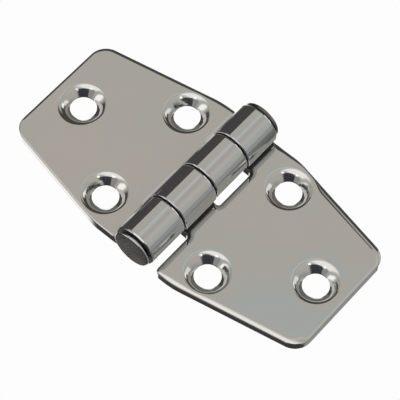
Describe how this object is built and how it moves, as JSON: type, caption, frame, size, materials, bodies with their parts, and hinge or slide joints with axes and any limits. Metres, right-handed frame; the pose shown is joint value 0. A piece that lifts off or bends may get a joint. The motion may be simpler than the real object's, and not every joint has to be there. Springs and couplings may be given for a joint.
{
  "type": "strap hinge",
  "caption": "Flat tapered strap hinge with two polished plate leaves, rolled knuckles on a headed pin, and countersunk screw holes in each leaf.",
  "frame": {"origin": "on the mounting plane of the open hinge, below the middle of the pin", "axes": "+X across the open hinge towards the turning leaf, +Y along the pin, +Z out of the mounting plane"},
  "size_m": [0.075, 0.0398, 0.0098],
  "materials": {
    "leaf_a_steel": "mirror-polished stainless steel",
    "leaf_b_steel": "mirror-polished stainless steel",
    "pin_steel": "polished stainless steel",
    "cap_steel": "polished stainless steel"
  },
  "bodies": {
    "fixed_leaf": {"leaf_a": "leaf_a_steel", "hinge_pin": "pin_steel", "pin_cap": "cap_steel"},
    "turning_leaf": {"leaf_b": "leaf_b_steel"}
  },
  "joints": [
    {"name": "hinge", "type": "hinge", "parent": "fixed_leaf", "child": "turning_leaf", "pos_m": [0, 0, 0.00505], "axis": [0, -1, 0], "range_deg": [0, 180]}
  ]
}
